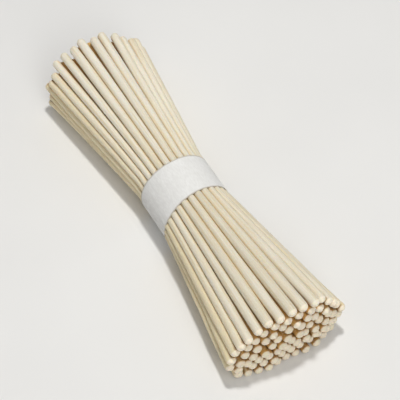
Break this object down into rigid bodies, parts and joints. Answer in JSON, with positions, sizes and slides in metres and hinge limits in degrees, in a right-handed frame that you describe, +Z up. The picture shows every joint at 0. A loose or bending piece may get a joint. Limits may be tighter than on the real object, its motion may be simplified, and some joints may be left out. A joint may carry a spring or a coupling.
{
  "type": "bundle of dried somen noodles",
  "caption": "Waisted sheaf of straight dried wheat noodles lying on its side, held at the middle by a plain paper band, with round-ended noodles fanning out to both ends.",
  "frame": {"origin": "under the middle of the bundle, on the surface that it lies on", "axes": "+X along the noodles, towards the end that faces the viewer in the picture, +Y across them, +Z up"},
  "size_m": [0.1986, 0.0636, 0.0436],
  "materials": {
    "noodle": "dry, matt, ivory",
    "paper": "uncoated white paper"
  },
  "bodies": {
    "root": {"noodles": "noodle", "paper_band": "paper"}
  },
  "joints": []
}
